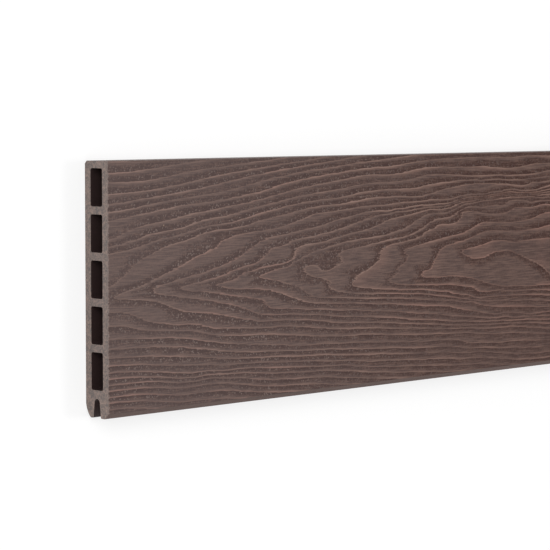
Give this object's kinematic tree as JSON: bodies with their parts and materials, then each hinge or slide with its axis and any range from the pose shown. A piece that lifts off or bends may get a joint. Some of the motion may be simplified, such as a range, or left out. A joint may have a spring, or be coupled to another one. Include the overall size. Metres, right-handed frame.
{
  "type": "composite fence board",
  "caption": "Hollow extruded composite fence board with an embossed wood-grain face, a row of rectangular chambers and a groove along one edge for a joining strip.",
  "frame": {"origin": "centre of the board's plain back, which lies on the floor", "axes": "+X along the board away from the end shown in the picture, +Y across it towards the plain edge, +Z out of the embossed face"},
  "size_m": [1.8, 0.156, 0.021],
  "materials": {
    "composite": "matt brown wood composite, deep embossed grain on the face, brushed lands, fine sawn ends"
  },
  "bodies": {
    "root": {"fence_board": "composite"}
  },
  "joints": []
}
